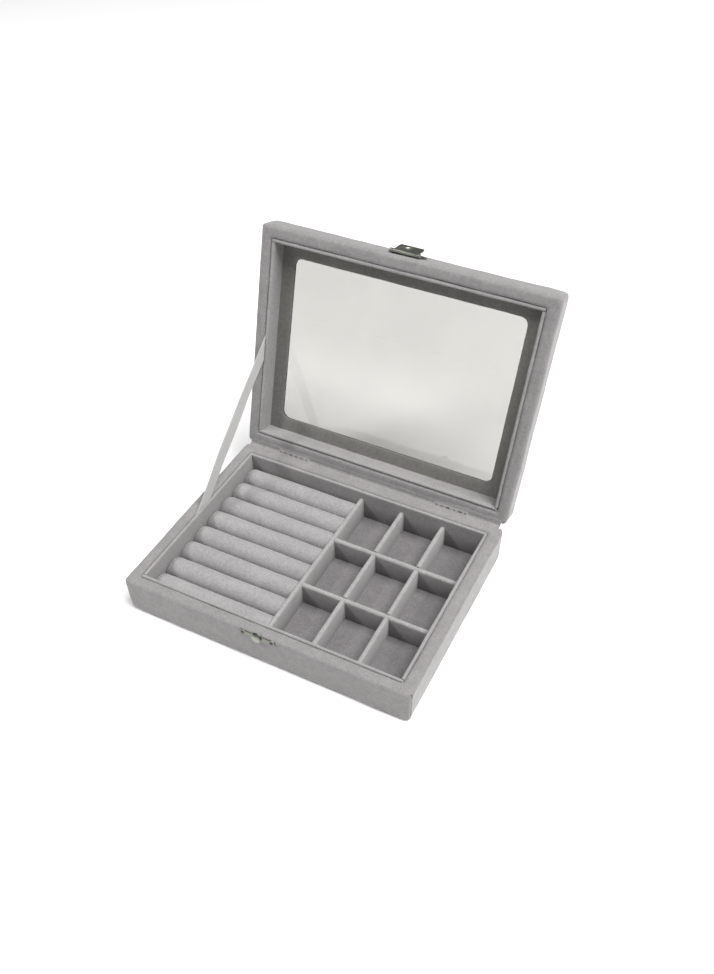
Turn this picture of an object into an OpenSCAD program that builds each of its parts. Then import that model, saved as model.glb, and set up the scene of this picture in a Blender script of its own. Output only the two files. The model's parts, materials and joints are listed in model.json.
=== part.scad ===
// Ring display box with a glass lid: velvet over mitred wood walls, drawn with its lid open.
// X runs to the right, Y to the back, Z up. The origin is the middle of the underside.
// Lid and hasp parts are modelled closed and then turned about their pins.

/* [Box] */
// Width of the box over the velvet
box_w = 200; // [180:1:240]
// Depth of the box from front to back
box_d = 150; // [140:1:180]
// Height of the base, up to its rim
base_h = 27.5; // [26:0.5:40]
// Height of the lid
lid_h = 17; // [16:0.5:24]
// How far the lid stands open
open_angle = 107.5; // [0:0.5:110]

/* [Walls] */
// Thickness of a padded wall with its velvet
wall_t = 7.75; // [7:0.25:9]
// Thickness of the velvet
velvet_t = 0.6; // [0.4:0.1:0.8]
// Width of the groove between wall and liner
groove_w = 1; // [0.8:0.1:1.4]
// Thickness of a velvet-covered liner board
liner_t = 1.75; // [1.5:0.05:2]
// How far the velvet is turned down into the groove
flap_d = 10; // [6:0.5:11]
// Radius of the outer long edges
edge_r = 2.5; // [2:0.1:3]
// Radius of the upright corners
corner_r = 3.5; // [3:0.1:6]

/* [Tray] */
// Number of padded ring rolls
rolls = 8; // [8:1:8]
// Height of the roll tops above the floor card
roll_h = 15.6; // [14:0.1:16]
// Height of the dividers above the floor card
divider_h = 17.1; // [14:0.1:20]
// Thickness of a padded divider
divider_t = 3.4; // [2.6:0.1:4]
// Sideways place of the centre divider's middle
divider_x = -1; // [-20:0.5:20]

/* [Window] */
// Width of the frame round the window
frame_w = 19.8; // [18:0.1:26]
// Radius of the window's corners
window_r = 5; // [3:0.5:8]
// Thickness of the glass pane
glass_t = 1.2; // [1:0.1:1.4]

/* [Hinges] */
// Distance of each hinge's middle from the middle of the box
hinge_x = 61; // [40:1:70]
// Length of a hinge
hinge_len = 22; // [18:1:26]
// Knuckles on each hinge, an odd number
knuckles = 5; // [3:2:5]
// Radius of a hinge pin
pin_r = 0.6; // [0.5:0.05:0.7]
// Thickness of the velvet strip across the rear seam
strip_t = 0.4; // [0.3:0.1:0.5]

/* [Clasp] */
// Sideways place of the clasp's middle
clasp_x = -1.1; // [-10:0.1:10]
// How far the catch plate's middle lies below the rim
catch_drop = 2.2; // [2:0.1:4]
// How far the hasp turns from folded back to closed
hasp_swing = 172; // [90:1:172]
// Width of the hasp
hasp_w = 16.5; // [15:0.5:17]
// Radius of the catch knob's head
knob_r = 3.6; // [3:0.1:3.6]

/* [Ribbon] */
// Width of the stay ribbon
ribbon_w = 10; // [8:0.5:11]
// Thickness of the stay ribbon
ribbon_t = 0.4; // [0.3:0.1:0.5]

/* [Hidden] */
$fn = 48;

// Heights, with the lid closed
rim_gap = 0.3;
lid_z = base_h + rim_gap;
lining_t = 0.5;
lining_in = 3;
board_z = lining_t + velvet_t;
board_t = 2;
floor_z = board_z + board_t;
floor_card_t = 0.8;
tray_z = floor_z + floor_card_t;
liner_drop = 0.4;
hem_w = 12;

// Steps in from the outer face
wood_in = wall_t - velvet_t;
inner_r = 2;
liner_out = wall_t + groove_w;
liner_in = liner_out + liner_t;
seat_gap = 0.25;

// Inside of the tray
tray_x = box_w / 2 - liner_in;
tray_y = box_d / 2 - liner_in;
divider_right = divider_x + divider_t / 2;
cell_w = (tray_x - divider_right - 2 * divider_t) / 3;
cell_d = (2 * tray_y - 2 * divider_t) / 3;
long_x = [for (i = [0, 1]) divider_right + cell_w * (i + 1) + divider_t * (i + 0.5)];
cross_y = [for (i = [0, 1]) -tray_y + cell_d * (i + 1) + divider_t * (i + 0.5)];
roll_pitch = 2 * tray_y / rolls;
roll_r = 8;
roll_z = tray_z + roll_h - roll_r;
roll_end_gap = 0.2;
lap_gap = 0.05;

// Lid stack, from the rim plane up
top_board_t = 1;
top_board_in = 4;
top_board_z = lid_h - velvet_t - top_board_t;
glass_z = top_board_z - glass_t;
retainer_t = 0.9;
retainer_z = glass_z - retainer_t;

// Hinges
hinge_y = box_d / 2 + 0.7;
hinge_z = base_h + rim_gap / 2;
knuckle_r = 1.25;
pin_gap = 0.05;
knuckle_gap = 0.25;
leaf_t = 0.7;
leaf_y = box_d / 2 - 5.5;
leaf_end_y = box_d / 2 - 0.8;
leaf_top = base_h - velvet_t;
knuckle_len = (hinge_len - knuckle_gap * (knuckles - 1)) / knuckles;
slit_gap = 0.3;
slit_size = 5;
pocket_gap = 0.1;
strip_sink = 0.05;
strip_bead_r = rim_gap / 2 + strip_t + strip_sink;
strip_y = box_d / 2 - edge_r + sqrt(2 * edge_r * strip_t - strip_t * strip_t) + strip_sink;
strip_end = hinge_len / 2 + slit_gap + pocket_gap;

// Nails
nail_r = 0.5;
nail_gap = 0.02;
nail_head_r = 1.4;
nail_len = 5.5;
leaf_nail_x = 7;
leaf_nail_y = box_d / 2 - 3.4;
dome_r = 2;
dome_h = 0.6;

// Clasp
plate_t = 0.6;
plate_r = 4;
lobe_r = 2.5;
lobe_x = 10;
knob_neck_r = knob_r - 0.8;
knob_neck_h = 0.9;
knob_head_h = 1.2;
knob_dome_r = 1.5 * knob_r;
knob_dome_z = plate_t + knob_neck_h + knob_head_h - knob_dome_r;
catch_z = base_h - catch_drop;
hasp_z = lid_z + 3.5;
hasp_y = -box_d / 2 - 1.9;
hasp_plate_z = hasp_z + 4.4;
hasp_r = 1.15;
hasp_t = 0.7;
hasp_reach = 5.3;
hasp_end_r = 4.5;
cup_gap = 0.3;
cup_t = 0.4;
hasp_lug_w = 1.6;
hasp_lug_gap = 0.3;
hasp_lug_h = 2.8;
lip_len = 2.6;

// Stay ribbon, in the plane of the left groove
ribbon_x = -box_w / 2 + wall_t + groove_w / 2;
ribbon_tuck = 4;
ribbon_base_y = 1;
ribbon_lid_v = 74.5;

// ---------- shared shapes ----------

// A quarter-round corner to cut away, with its square corner on the origin
module corner_cut(r) {
    difference() {
        translate([-1, -1]) square(r + 1);
        translate([r, r]) circle(r);
    }
}

// Wall section: X is the distance in from the outer face, Y the height
module wall_section(w, h, bottom_out, top_out, top_in) {
    difference() {
        square([w, h]);
        corner_cut(bottom_out);
        translate([0, h]) mirror([0, 1]) corner_cut(top_out);
        translate([w, h]) rotate(180) corner_cut(top_in);
    }
}

module round_rect(w, d, r) {
    square([w - 2 * r, d], center = true);
    square([w, d - 2 * r], center = true);
    for (x = [-1, 1], y = [-1, 1])
        translate([x * (w / 2 - r), y * (d / 2 - r)]) circle(r);
}

// Sides are numbered 0 front, 1 right, 2 back, 3 left
function side_len(i) = i % 2 == 0 ? box_w : box_d;
function side_out(i) = i % 2 == 0 ? box_d / 2 : box_w / 2;

// Sweeps a section along one side, between mitres of the given width
module mitred_side(i, width, h) {
    len = side_len(i);
    rotate([0, 0, 90 * i]) translate([0, -side_out(i), 0]) intersection() {
        rotate([90, 0, 90]) linear_extrude(len, center = true) children();
        linear_extrude(h) polygon([
            [-len / 2, 0], [len / 2, 0], [len / 2 - width, width], [width - len / 2, width]
        ]);
    }
}

// Rounds the upright corners of what it holds
module rounded_plan(inset, h) {
    intersection() {
        children();
        linear_extrude(h)
            round_rect(box_w - 2 * inset, box_d - 2 * inset, corner_r - inset);
    }
}

// Places lid parts, which are drawn with the rim plane at Z 0, on the closed base
module on_rim() {
    translate([0, 0, lid_z]) children();
}

// Turns closed lid parts open about the hinge pins
module opened() {
    translate([0, hinge_y, hinge_z]) rotate([-open_angle, 0, 0])
        translate([0, -hinge_y, -hinge_z]) children();
}

// Folds the closed hasp back about its pin
module folded() {
    translate([0, hasp_y, hasp_z]) rotate([-hasp_swing, 0, 0])
        translate([0, -hasp_y, -hasp_z]) children();
}

module at_hinge(side) {
    translate([side * hinge_x, 0, 0]) children();
}

// Turns a shape drawn above the hinge's plane into one below it, or back
module flipped_at_hinge() {
    translate([0, 0, 2 * hinge_z]) mirror([0, 0, 1]) children();
}

// ---------- hinge and nail shapes ----------

// The knuckles of one leaf: every second one, from the first
module leaf_knuckles(first, r) {
    for (k = [first : 2 : knuckles - 1])
        translate([-hinge_len / 2 + k * (knuckle_len + knuckle_gap), hinge_y, hinge_z])
            rotate([0, 90, 0]) cylinder(r = r, h = knuckle_len);
}

// A leaf let into the rim under the velvet, with fingers out to its knuckles
module hinge_leaf(first) {
    difference() {
        union() {
            translate([-hinge_len / 2, leaf_y, leaf_top - leaf_t])
                cube([hinge_len, leaf_end_y - leaf_y, leaf_t]);
            for (k = [first : 2 : knuckles - 1])
                translate([
                    -hinge_len / 2 + k * (knuckle_len + knuckle_gap),
                    leaf_end_y - 1, leaf_top - leaf_t
                ])
                    cube([knuckle_len, hinge_y - leaf_end_y + 1, leaf_t]);
            leaf_knuckles(first, knuckle_r);
        }
        translate([-hinge_len, hinge_y, hinge_z]) rotate([0, 90, 0])
            cylinder(r = pin_r + pin_gap, h = 2 * hinge_len);
        for (x = [-1, 1])
            translate([x * leaf_nail_x, leaf_nail_y, leaf_top]) {
                translate([0, 0, -2 * leaf_t]) cylinder(r = nail_r + nail_gap, h = 3 * leaf_t);
                translate([0, 0, -leaf_t / 2])
                    cylinder(r = nail_head_r + nail_gap, h = leaf_t);
            }
    }
}

// Two nails with heads sunk in a leaf
module leaf_nails() {
    for (x = [-1, 1])
        translate([x * leaf_nail_x, leaf_nail_y, 0]) {
            translate([0, 0, leaf_top - nail_len]) cylinder(r = nail_r, h = nail_len);
            translate([0, 0, leaf_top - leaf_t / 2]) cylinder(r = nail_head_r, h = leaf_t / 2);
        }
}

// What the wood and the velvet give up for one hinge leaf and its nails
module leaf_pocket() {
    translate([-hinge_len / 2 - pocket_gap, leaf_y - pocket_gap, leaf_top - leaf_t])
        cube([hinge_len + 2 * pocket_gap, box_d / 2 - leaf_y, leaf_t + nail_gap]);
    for (x = [-1, 1])
        translate([x * leaf_nail_x, leaf_nail_y, leaf_top - nail_len - pocket_gap])
            cylinder(r = nail_r + nail_gap, h = nail_len);
}

// The slit in the back of the rim that the knuckles stand in
module knuckle_slit() {
    translate([-hinge_len / 2 - slit_gap, leaf_end_y - slit_gap, leaf_top - leaf_t - slit_gap])
        cube([hinge_len + 2 * slit_gap, slit_size, slit_size]);
}

// Outline shared by the catch plate and the hasp plate
module plate_outline() {
    circle(plate_r);
    square([2 * lobe_x, 2 * lobe_r - 1], center = true);
    for (x = [-1, 1])
        translate([x * lobe_x, 0]) circle(lobe_r);
}

// Puts a flat shape on the front of the box, growing outwards from the velvet
module on_front(z) {
    translate([0, -box_d / 2, z]) rotate([90, 0, 0]) children();
}

module at_clasp() {
    translate([clasp_x, 0, 0]) children();
}

module nailed_plate() {
    difference() {
        linear_extrude(plate_t) plate_outline();
        for (x = [-1, 1])
            translate([x * lobe_x, 0, -plate_t])
                cylinder(r = nail_r + nail_gap, h = 3 * plate_t);
    }
}

// Domed nails through both lobes of a plate
module plate_nails() {
    for (x = [-1, 1])
        translate([x * lobe_x, 0, 0]) {
            translate([0, 0, plate_t - nail_len]) cylinder(r = nail_r, h = nail_len);
            translate([0, 0, plate_t]) intersection() {
                cylinder(r = nail_head_r, h = dome_h);
                translate([0, 0, dome_h - dome_r]) sphere(dome_r);
            }
        }
}

module plate_nail_holes() {
    for (x = [-1, 1])
        translate([x * lobe_x, 0, -nail_len]) cylinder(r = nail_r + nail_gap, h = 2 * nail_len);
}

// ---------- base ----------

module base_section() {
    translate([0, lining_t])
        wall_section(wall_t, base_h - lining_t, edge_r, edge_r, inner_r);
}

module base_wood_section() {
    translate([velvet_t, board_z])
        wall_section(
            wood_in - velvet_t, leaf_top - board_z,
            edge_r - velvet_t, edge_r - velvet_t, inner_r - velvet_t
        );
}

module base_wall(i) {
    color("burlywood") difference() {
        rounded_plan(velvet_t, base_h) mitred_side(i, wood_in, base_h) base_wood_section();
        if (i == 2)
            for (s = [-1, 1]) at_hinge(s) {
                leaf_pocket();
                knuckle_slit();
            }
        if (i == 0) at_clasp() on_front(catch_z) plate_nail_holes();
    }
}

module base_bottom_board() {
    color("tan") translate([wood_in - box_w / 2, wood_in - box_d / 2, board_z])
        cube([box_w - 2 * wood_in, box_d - 2 * wood_in, board_t]);
}

// Velvet round a base wall: over the rim, a flap into the groove and a hem underneath
module base_velvet_section() {
    difference() {
        union() {
            base_section();
            translate([edge_r, lining_t]) square([hem_w - edge_r, velvet_t]);
        }
        base_wood_section();
        translate([wood_in, board_z])
            square([wall_t, base_h - flap_d - board_z]);
    }
}

module base_velvet_cover() {
    color("darkgray") difference() {
        rounded_plan(0, base_h)
            for (i = [0 : 3]) mitred_side(i, hem_w, base_h) base_velvet_section();
        for (s = [-1, 1]) at_hinge(s) {
            leaf_pocket();
            knuckle_slit();
        }
        at_clasp() on_front(catch_z) plate_nail_holes();
    }
}

// Lining over the hem, pressed up to the bottom board inside it
module underside_lining() {
    color("dimgray") {
        linear_extrude(lining_t)
            square([box_w - 2 * lining_in, box_d - 2 * lining_in], center = true);
        linear_extrude(board_z)
            square([box_w - 2 * hem_w, box_d - 2 * hem_w], center = true);
    }
}

// A liner board with a rounded top, standing inside one wall
module liner_board(i, z0, z1) {
    butt = i % 2 == 0 ? liner_out : liner_in;
    len = side_len(i) - 2 * butt - (i % 2 == 0 ? 0 : 2 * lap_gap);
    rotate([0, 0, 90 * i])
        translate([0, liner_out - side_out(i), 0]) rotate([90, 0, 90])
            linear_extrude(len, center = true) {
                translate([0, z0]) square([liner_t, z1 - z0 - liner_t / 2]);
                translate([liner_t / 2, z1 - liner_t / 2]) circle(liner_t / 2);
            }
}

module base_liner(i) {
    color("silver") liner_board(i, tray_z, base_h - liner_drop);
}

module tray_floor_card() {
    color("gray") translate([0, 0, floor_z]) linear_extrude(floor_card_t)
        square([box_w - 2 * wood_in - 2 * seat_gap, box_d - 2 * wood_in - 2 * seat_gap],
            center = true);
}

// A padded roll with soft ends, flat where it rests on the floor card
module ring_roll(n) {
    end_r = 1.2;
    x0 = -tray_x + roll_end_gap;
    len = divider_x - divider_t / 2 - roll_end_gap - x0;
    y = tray_y - roll_pitch * (n - 0.5);
    color("silver") intersection() {
        translate([x0, y, roll_z]) rotate([0, 90, 0]) rotate_extrude() {
            square([roll_r - end_r, len]);
            translate([0, end_r]) square([roll_r, len - 2 * end_r]);
            for (z = [end_r, len - end_r])
                translate([roll_r - end_r, z]) circle(end_r);
        }
        translate([x0 - 1, y - roll_r, tray_z]) cube([len + 2, 2 * roll_r, 2 * roll_r]);
    }
}

// A divider standing along X or Y, with a rounded top
module divider_bar(len) {
    rotate([90, 0, 90]) linear_extrude(len) {
        translate([-divider_t / 2, tray_z])
            square([divider_t, divider_h - divider_t / 2]);
        translate([0, tray_z + divider_h - divider_t / 2]) circle(divider_t / 2);
    }
}

module centre_divider() {
    color("lightgray") translate([divider_x, -tray_y, 0]) rotate([0, 0, 90])
        divider_bar(2 * tray_y);
}

// Cross dividers lap over the long ones: each is slotted to half its height
module cross_divider(n) {
    color("lightgray") difference() {
        translate([divider_right, cross_y[n], 0]) divider_bar(tray_x - divider_right);
        for (x = long_x)
            translate([x - divider_t / 2 - lap_gap, cross_y[n] - divider_t, tray_z - 1])
                cube([divider_t + 2 * lap_gap, 2 * divider_t, divider_h / 2 + 1]);
    }
}

module long_divider(n) {
    color("lightgray") difference() {
        translate([long_x[n], -tray_y, 0]) rotate([0, 0, 90]) divider_bar(2 * tray_y);
        for (y = cross_y)
            translate([
                long_x[n] - divider_t, y - divider_t / 2 - lap_gap, tray_z + divider_h / 2
            ])
                cube([2 * divider_t, divider_t + 2 * lap_gap, divider_h]);
    }
}

module hinge_base_leaf(side) {
    color("silver") at_hinge(side) hinge_leaf(0);
}

module base_leaf_nails() {
    color("silver") for (s = [-1, 1]) at_hinge(s) leaf_nails();
}

module hinge_pin(side) {
    color("gainsboro") at_hinge(side)
        translate([-hinge_len / 2 - slit_gap / 2, hinge_y, hinge_z]) rotate([0, 90, 0])
            cylinder(r = pin_r, h = hinge_len + slit_gap);
}

// The plate and its knob, turned in one: a waist behind a domed head
module catch_plate() {
    head_z = plate_t + knob_neck_h;
    color("silver") at_clasp() on_front(catch_z) {
        nailed_plate();
        cylinder(r = knob_neck_r, h = head_z + knob_head_h / 2);
        intersection() {
            translate([0, 0, head_z]) cylinder(r = knob_r, h = knob_head_h);
            translate([0, 0, knob_dome_z]) sphere(knob_dome_r);
        }
    }
}

module catch_nails() {
    color("gainsboro") at_clasp() on_front(catch_z) plate_nails();
}

// ---------- velvet strips and stay ribbon ----------

// Half of a strip's section: from the rounded edge of the base's cover to the hinge line
module strip_wing() {
    translate([strip_y - hinge_y, base_h - strip_t - hinge_z])
        square([hinge_y - strip_y, strip_t]);
}

// Velvet across the rear seam from one X to another, bent round the hinge line
module hinge_strip(x0, x1) {
    color("darkgray") translate([x0, hinge_y, hinge_z])
        rotate([90, 0, 90]) linear_extrude(x1 - x0) {
            circle(strip_bead_r);
            strip_wing();
            rotate(-open_angle) mirror([0, 1]) strip_wing();
        }
}

// A point in the ribbon's plane for a height up the lid and a depth into it
function lid_point(v, w) = [
    hinge_y + (box_d / 2 - v - hinge_y) * cos(open_angle)
        + (lid_z + w - hinge_z) * sin(open_angle),
    hinge_z - (box_d / 2 - v - hinge_y) * sin(open_angle)
        + (lid_z + w - hinge_z) * cos(open_angle)
];

// A straight band with round ends, from deep in the base's groove to deep in the lid's
module stay_ribbon() {
    from = [ribbon_base_y, base_h - ribbon_tuck];
    run = lid_point(ribbon_lid_v, ribbon_tuck) - from;
    color("lightgray") translate([ribbon_x - ribbon_t / 2, 0, 0])
        rotate([90, 0, 90]) linear_extrude(ribbon_t)
            translate(from) rotate(atan2(run[1], run[0])) {
                translate([0, -ribbon_w / 2]) square([norm(run), ribbon_w]);
                circle(ribbon_w / 2);
                translate([norm(run), 0]) circle(ribbon_w / 2);
            }
}

// ---------- lid ----------

module lid_section() {
    translate([0, lid_h]) mirror([0, 1]) wall_section(wall_t, lid_h, edge_r, edge_r, inner_r);
}

// Wood of a lid wall, rebated along its inner top edge for the top board
module lid_wood_section() {
    difference() {
        translate([velvet_t, lid_h - velvet_t]) mirror([0, 1])
            wall_section(
                wood_in - velvet_t, lid_h - 2 * velvet_t,
                edge_r - velvet_t, edge_r - velvet_t, inner_r - velvet_t
            );
        translate([top_board_in, top_board_z]) square([wall_t, lid_h]);
    }
}

module lid_wall(i) {
    color("burlywood") opened() difference() {
        on_rim() rounded_plan(velvet_t, lid_h)
            mitred_side(i, wood_in, lid_h) lid_wood_section();
        if (i == 2)
            for (s = [-1, 1]) at_hinge(s) flipped_at_hinge() {
                leaf_pocket();
                knuckle_slit();
            }
        if (i == 0) at_clasp() on_front(hasp_plate_z) plate_nail_holes();
    }
}

module window_cut(grow) {
    round_rect(
        box_w - 2 * frame_w + 2 * grow, box_d - 2 * frame_w + 2 * grow, window_r + grow
    );
}

module lid_top_board() {
    color("burlywood") opened() on_rim() translate([0, 0, top_board_z])
        linear_extrude(top_board_t) difference() {
            square([box_w - 2 * top_board_in, box_d - 2 * top_board_in], center = true);
            window_cut(velvet_t);
        }
}

// Velvet round a lid wall: over the rim and a flap into the groove
module lid_velvet_section() {
    difference() {
        lid_section();
        translate([velvet_t, lid_h - velvet_t]) mirror([0, 1])
            wall_section(
                wood_in - velvet_t, lid_h - 2 * velvet_t,
                edge_r - velvet_t, edge_r - velvet_t, inner_r - velvet_t
            );
        translate([wood_in, flap_d]) square([wall_t, lid_h - velvet_t - flap_d]);
    }
}

module lid_velvet_cover() {
    color("darkgray") opened() difference() {
        on_rim() {
            rounded_plan(0, lid_h)
                for (i = [0 : 3]) mitred_side(i, wall_t, lid_h) lid_velvet_section();
            translate([0, 0, lid_h - velvet_t]) linear_extrude(velvet_t) difference() {
                square([box_w - 3 * edge_r, box_d - 3 * edge_r], center = true);
                window_cut(0);
            }
            translate([0, 0, top_board_z]) linear_extrude(top_board_t + velvet_t / 2)
                difference() {
                    window_cut(velvet_t);
                    window_cut(0);
                }
        }
        for (s = [-1, 1]) at_hinge(s) flipped_at_hinge() {
            leaf_pocket();
            knuckle_slit();
        }
        at_clasp() on_front(hasp_plate_z) plate_nail_holes();
    }
}

module glass_pane() {
    inset = wood_in + seat_gap;
    color("lightcyan", 0.4) opened() on_rim() translate([0, 0, glass_z])
        linear_extrude(glass_t)
            square([box_w - 2 * inset, box_d - 2 * inset], center = true);
}

module glass_retainer_frame() {
    inset = wood_in + seat_gap;
    color("gray") opened() on_rim() translate([0, 0, retainer_z])
        linear_extrude(retainer_t) difference() {
            square([box_w - 2 * inset, box_d - 2 * inset], center = true);
            window_cut(0);
        }
}

module lid_liner(i) {
    color("silver") opened() on_rim() translate([0, 0, retainer_z]) mirror([0, 0, 1])
        liner_board(i, 0, retainer_z - liner_drop);
}

module hinge_lid_leaf(side) {
    color("silver") opened() at_hinge(side) flipped_at_hinge() hinge_leaf(1);
}

module lid_leaf_nails() {
    color("silver") opened() for (s = [-1, 1]) at_hinge(s) flipped_at_hinge() leaf_nails();
}

// Hasp plate with two lugs that carry the hasp's pin
module hasp_plate() {
    lug_x = hasp_w / 2 + hasp_lug_gap;
    color("silver") opened() at_clasp() difference() {
        union() {
            on_front(hasp_plate_z) nailed_plate();
            for (s = [-1, 1])
                translate([s * (lug_x + hasp_lug_w / 2) - hasp_lug_w / 2, 0, 0]) {
                    translate([0, hasp_y, hasp_z]) rotate([0, 90, 0])
                        cylinder(r = hasp_r, h = hasp_lug_w);
                    translate([0, hasp_y, hasp_z])
                        cube([hasp_lug_w, -box_d / 2 - hasp_y, hasp_lug_h]);
                }
        }
        translate([-hasp_w, hasp_y, hasp_z]) rotate([0, 90, 0])
            cylinder(r = pin_r, h = 2 * hasp_w);
    }
}

module hasp_nails() {
    color("gainsboro") opened() at_clasp() on_front(hasp_plate_z) plate_nails();
}

module hasp_pin() {
    len = hasp_w + 2 * hasp_lug_gap + 2 * hasp_lug_w;
    color("gainsboro") opened() at_clasp() translate([-len / 2, hasp_y, hasp_z])
        rotate([0, 90, 0]) cylinder(r = pin_r, h = len);
}

// The hasp: a knuckle, a flat tongue with a cup that snaps on the knob, and a thumb lip
module hasp_lever() {
    tongue_y = hasp_y + hasp_t / 2;
    end_z = catch_z - hasp_reach;
    color("silver") opened() folded() at_clasp() difference() {
        union() {
            translate([-hasp_w / 2, hasp_y, hasp_z]) rotate([0, 90, 0])
                cylinder(r = hasp_r, h = hasp_w);
            intersection() {
                union() {
                    translate([-hasp_w / 2, tongue_y - hasp_t, end_z])
                        cube([hasp_w, hasp_t, hasp_z - end_z]);
                    translate([-hasp_w / 2, tongue_y, end_z]) rotate([0, 90, 0])
                        mirror([0, 1, 0]) lip();
                }
                on_front(hasp_z) hasp_outline(hasp_z - end_z + lip_len);
            }
            intersection() {
                knob_ball(knob_dome_r + cup_gap + cup_t);
                translate([-knob_dome_r, tongue_y - knob_dome_r, catch_z - knob_dome_r])
                    cube([2 * knob_dome_r, knob_dome_r, 2 * knob_dome_r]);
            }
        }
        translate([-hasp_w, hasp_y, hasp_z]) rotate([0, 90, 0])
            cylinder(r = pin_r + pin_gap, h = 2 * hasp_w);
        knob_ball(knob_dome_r + cup_gap);
    }
}

// A ball about the centre of the knob's dome
module knob_ball(r) {
    on_front(catch_z) translate([0, 0, knob_dome_z]) sphere(r);
}

// Lip section: a short arc that curls away from the box
module lip() {
    curl_r = lip_len;
    linear_extrude(hasp_w) intersection() {
        translate([0, curl_r]) difference() {
            circle(curl_r);
            circle(curl_r - hasp_t);
        }
        square(curl_r);
    }
}

// Front outline of the hasp, with a rounded end
module hasp_outline(len) {
    linear_extrude(len) {
        translate([-hasp_w / 2, hasp_end_r - len]) square([hasp_w, len - hasp_end_r + hasp_r]);
        translate([hasp_end_r - hasp_w / 2, -len])
            square([hasp_w - 2 * hasp_end_r, 2 * hasp_end_r]);
        for (x = [-1, 1])
            translate([x * (hasp_w / 2 - hasp_end_r), hasp_end_r - len]) circle(hasp_end_r);
    }
}

// ---------- nodes ----------

base_wall(0);  // base_wall_front
base_wall(1);  // base_wall_right
base_wall(2);  // base_wall_back
base_wall(3);  // base_wall_left
base_bottom_board();
base_velvet_cover();
underside_lining();
base_liner(0);  // base_liner_front
base_liner(1);  // base_liner_right
base_liner(2);  // base_liner_back
base_liner(3);  // base_liner_left
tray_floor_card();
for (n = [1 : rolls])
    ring_roll(n);
centre_divider();
cross_divider(0);  // cross_divider_front
cross_divider(1);  // cross_divider_back
long_divider(0);  // long_divider_left
long_divider(1);  // long_divider_right
catch_plate();
catch_nails();
hinge_base_leaf(-1);  // left_hinge_base_leaf
hinge_base_leaf(1);  // right_hinge_base_leaf
base_leaf_nails();
hinge_pin(-1);  // left_hinge_pin
hinge_pin(1);  // right_hinge_pin
stay_ribbon();
hinge_strip(corner_r - box_w / 2, -hinge_x - strip_end);  // hinge_strip_left
hinge_strip(strip_end - hinge_x, hinge_x - strip_end);  // hinge_strip_middle
hinge_strip(hinge_x + strip_end, box_w / 2 - corner_r);  // hinge_strip_right
lid_wall(0);  // lid_wall_front
lid_wall(1);  // lid_wall_right
lid_wall(2);  // lid_wall_back
lid_wall(3);  // lid_wall_left
lid_top_board();
lid_velvet_cover();
glass_pane();
glass_retainer_frame();
lid_liner(0);  // lid_liner_front
lid_liner(1);  // lid_liner_right
lid_liner(2);  // lid_liner_back
lid_liner(3);  // lid_liner_left
hinge_lid_leaf(-1);  // left_hinge_lid_leaf
hinge_lid_leaf(1);  // right_hinge_lid_leaf
lid_leaf_nails();
hasp_plate();
hasp_nails();
hasp_lever();
hasp_pin();
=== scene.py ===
import json
import math

import bmesh
import bpy
from mathutils import Matrix, Vector, noise
from mathutils.bvhtree import BVHTree


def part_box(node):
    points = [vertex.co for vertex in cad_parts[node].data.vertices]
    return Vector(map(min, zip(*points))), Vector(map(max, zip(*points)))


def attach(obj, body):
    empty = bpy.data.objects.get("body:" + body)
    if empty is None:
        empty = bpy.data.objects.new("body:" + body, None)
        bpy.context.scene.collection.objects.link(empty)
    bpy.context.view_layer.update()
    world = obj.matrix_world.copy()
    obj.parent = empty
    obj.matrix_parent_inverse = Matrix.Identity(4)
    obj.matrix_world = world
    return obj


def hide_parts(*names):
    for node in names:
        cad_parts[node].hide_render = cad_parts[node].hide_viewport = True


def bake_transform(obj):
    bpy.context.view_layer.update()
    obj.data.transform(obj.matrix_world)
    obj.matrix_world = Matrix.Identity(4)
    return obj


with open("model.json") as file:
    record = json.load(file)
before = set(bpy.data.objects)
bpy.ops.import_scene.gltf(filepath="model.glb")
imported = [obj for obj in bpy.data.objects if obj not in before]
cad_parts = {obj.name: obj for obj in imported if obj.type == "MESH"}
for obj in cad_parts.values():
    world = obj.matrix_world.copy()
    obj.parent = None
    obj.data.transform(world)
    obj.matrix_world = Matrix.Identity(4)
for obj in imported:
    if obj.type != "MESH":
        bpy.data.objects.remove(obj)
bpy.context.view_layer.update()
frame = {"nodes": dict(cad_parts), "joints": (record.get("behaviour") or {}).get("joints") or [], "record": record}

millimetre = 0.001
tiny, little = 1e-6, 1e-5  # for telling places apart
clear = 10 * millimetre  # a cutter runs this far past what it cuts
parallel = 0.99  # how closely an edge follows its axis
xAxis, yAxis, zAxis = Vector((1, 0, 0)), Vector((0, 1, 0)), Vector((0, 0, 1))

# where the frame says things are

lidHinge = next(joint for joint in frame["joints"] if joint["name"] == "lid_hinge")
hingePlace = Vector(lidHinge["pos_m"])
openAngle = math.radians(max(lidHinge["range_deg"]))
openTurn = (
    Matrix.Translation(hingePlace)
    @ Matrix.Rotation(-openAngle, 4, "X")
    @ Matrix.Translation(-hingePlace)
)
shutTurn = openTurn.inverted()


def shutBox(node):
    corners = [shutTurn @ vertex.co for vertex in frame["nodes"][node].data.vertices]
    low = Vector([min(corner[i] for corner in corners) for i in range(3)])
    high = Vector([max(corner[i] for corner in corners) for i in range(3)])
    return low, high


baseLow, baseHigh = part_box("base_velvet_cover")
lidLow, lidHigh = shutBox("lid_velvet_cover")
grooveWidth = 1.0 * millimetre
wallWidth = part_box("base_liner_front")[0].y - baseLow.y - grooveWidth


# camera, first, so that every look is through it

cameraView = {
    "place": (0.2001646, -0.3297141, 0.4396962),
    "right": (0.8940562, 0.4479402, -0.0036300),
    "up": (-0.3410364, 0.6858936, 0.6428407),
    "focal": 869.763,  # in pixels
    "middle": (364.198, 598.864),
    "picture": (714, 974),
    "sensor": 36,
    "nearest": 0.01,
}


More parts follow.
